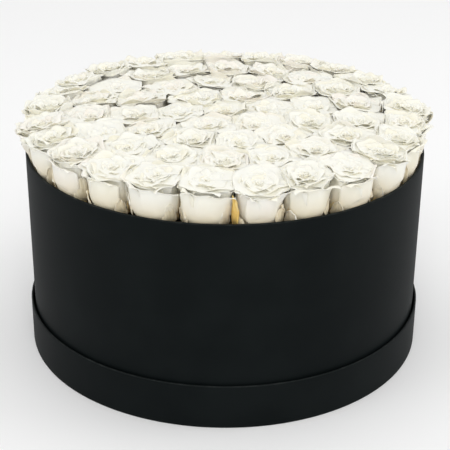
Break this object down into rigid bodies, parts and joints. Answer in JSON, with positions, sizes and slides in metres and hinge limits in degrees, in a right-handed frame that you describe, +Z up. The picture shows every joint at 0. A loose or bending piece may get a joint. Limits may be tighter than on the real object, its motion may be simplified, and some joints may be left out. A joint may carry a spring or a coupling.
{
  "type": "flower box",
  "caption": "Round black paper-covered box standing in its own upturned lid and filled to a dense mat of white roses, each on a pick in foam.",
  "frame": {"origin": "on the surface that the part stands on, under the middle of the lid", "axes": "+Z up along the axis of the box; the paper's seam is at +Y, the back"},
  "size_m": [0.4586, 0.4586, 0.275],
  "materials": {
    "black_paper": "black uncoated wrapping paper with a fine matt tooth",
    "lining_paper": "plain black lining paper",
    "grey_board": "raw grey board, hidden under the paper",
    "foam": "dry floral foam, tan and finely crumbled",
    "petals": "preserved rose petals, ivory white and softly matt",
    "calyx": "bleached, straw-coloured hip and sepals",
    "pick_wood": "plain split wood"
  },
  "bodies": {
    "lid": {"lid_panel_board": "grey_board", "lid_rim_board": "grey_board", "lid_panel_paper": "black_paper", "lid_rim_paper": "black_paper", "lid_lining": "lining_paper"},
    "box": {"box_base_board": "grey_board", "box_wall_board": "grey_board", "box_base_paper": "black_paper", "box_wall_paper": "black_paper", "box_base_lining": "lining_paper", "box_wall_lining": "lining_paper", "lower_foam": "foam", "upper_foam": "foam", "outer_roses": "petals", "second_roses": "petals", "third_roses": "petals", "inner_roses": "petals", "outer_calyxes": "calyx", "second_calyxes": "calyx", "third_calyxes": "calyx", "inner_calyxes": "calyx", "outer_picks": "pick_wood", "second_picks": "pick_wood", "third_picks": "pick_wood", "inner_picks": "pick_wood"}
  },
  "joints": [
    {"name": "box_lift", "type": "slide", "parent": "lid", "child": "box", "axis": [0, 0, 1], "range_m": [0, 0.12]}
  ]
}
